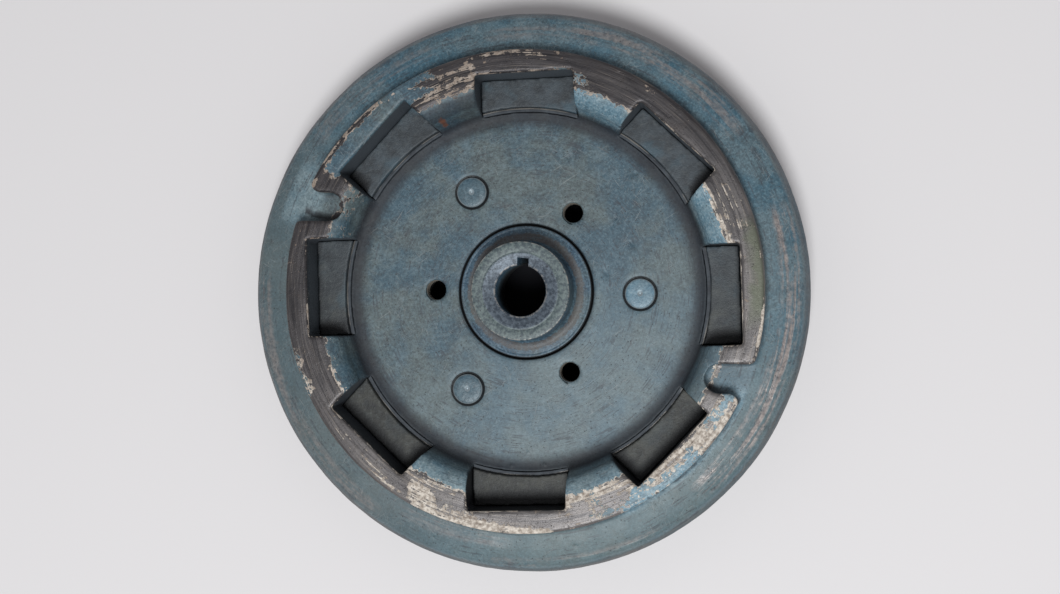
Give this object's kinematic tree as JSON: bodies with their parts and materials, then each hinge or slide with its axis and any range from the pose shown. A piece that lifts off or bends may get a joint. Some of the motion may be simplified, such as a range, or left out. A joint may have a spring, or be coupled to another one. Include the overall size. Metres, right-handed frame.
{
  "type": "magneto flywheel",
  "caption": "Cast magneto flywheel with a riveted keyed hub, inset bar magnets behind curved pole shoes, a web with tapped puller holes and rope-start notches.",
  "frame": {"origin": "on the shaft axis, in the plane of the rear rim that the flywheel lies on", "axes": "+Z along the shaft axis towards the front (nut and starter) side, +X through the middle of magnet 1 and of rivet 1"},
  "size_m": [0.2, 0.2, 0.04],
  "materials": {
    "painted_iron": "worn blue-grey paint over cream primer on cast iron, bare streaked metal on the raised ring",
    "hub_steel": "turned steel, thin paint film, speckled and slightly rusted",
    "rivet_steel": "painted steel head with a centre punch mark",
    "magnet_alloy": "dull dark cast magnet alloy, thinly painted",
    "pole_steel": "mild steel, worn bright along its edge"
  },
  "bodies": {
    "root": {"cast_body": "painted_iron", "hub": "hub_steel", "hub_rivet_1": "rivet_steel", "hub_rivet_2": "rivet_steel", "hub_rivet_3": "rivet_steel", "magnet_1": "magnet_alloy", "magnet_2": "magnet_alloy", "magnet_3": "magnet_alloy", "magnet_4": "magnet_alloy", "magnet_5": "magnet_alloy", "magnet_6": "magnet_alloy", "magnet_7": "magnet_alloy", "magnet_8": "magnet_alloy", "pole_shoe_1": "pole_steel", "pole_shoe_2": "pole_steel", "pole_shoe_3": "pole_steel", "pole_shoe_4": "pole_steel", "pole_shoe_5": "pole_steel", "pole_shoe_6": "pole_steel", "pole_shoe_7": "pole_steel", "pole_shoe_8": "pole_steel"}
  },
  "joints": []
}
